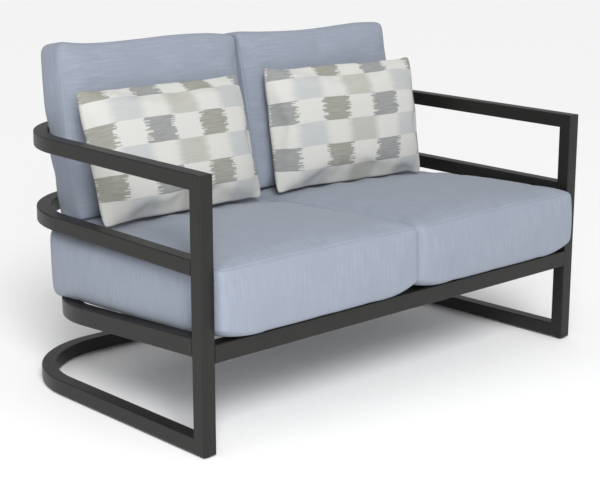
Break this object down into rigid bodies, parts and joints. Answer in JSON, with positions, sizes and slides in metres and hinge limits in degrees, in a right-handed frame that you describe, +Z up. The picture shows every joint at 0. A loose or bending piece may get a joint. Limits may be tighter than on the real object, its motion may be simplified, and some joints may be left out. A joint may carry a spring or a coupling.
{
  "type": "loveseat",
  "caption": "Outdoor loveseat on a cantilevered frame of bent square-tube hoops, with loose box cushions on its seat and back, and lumbar pillows.",
  "frame": {"origin": "on the floor, under the middle of the loveseat's outer box", "axes": "+X across the seat to the sitter's left, as seen from the front to the right; +Y from the front to the back; +Z up"},
  "size_m": [1.38, 0.8978, 0.8864],
  "materials": {
    "powder_coat": "fine-textured dark bronze powder coat on aluminium tube",
    "glide": "moulded black polyethylene",
    "cushion_fabric": "slubbed outdoor weave in heathered blue-grey",
    "pillow_fabric": "off-white weave with feathered blocks in greys",
    "foam": "open-cell foam block in wadding",
    "pillow_filling": "fibre-filled insert"
  },
  "bodies": {
    "root": {"post_left": "powder_coat", "post_right": "powder_coat", "arm_hoop": "powder_coat", "middle_hoop": "powder_coat", "seat_hoop": "powder_coat", "floor_hoop": "powder_coat", "front_rail": "powder_coat", "seat_slats": "powder_coat", "glides": "glide", "seat_cushion_left": "cushion_fabric", "seat_cushion_right": "cushion_fabric", "back_cushion_left": "cushion_fabric", "back_cushion_right": "cushion_fabric", "pillow_left": "pillow_fabric", "pillow_right": "pillow_fabric", "seat_foam_left": "foam", "seat_foam_right": "foam", "back_foam_left": "foam", "back_foam_right": "foam", "pillow_insert_left": "pillow_filling", "pillow_insert_right": "pillow_filling"}
  },
  "joints": []
}
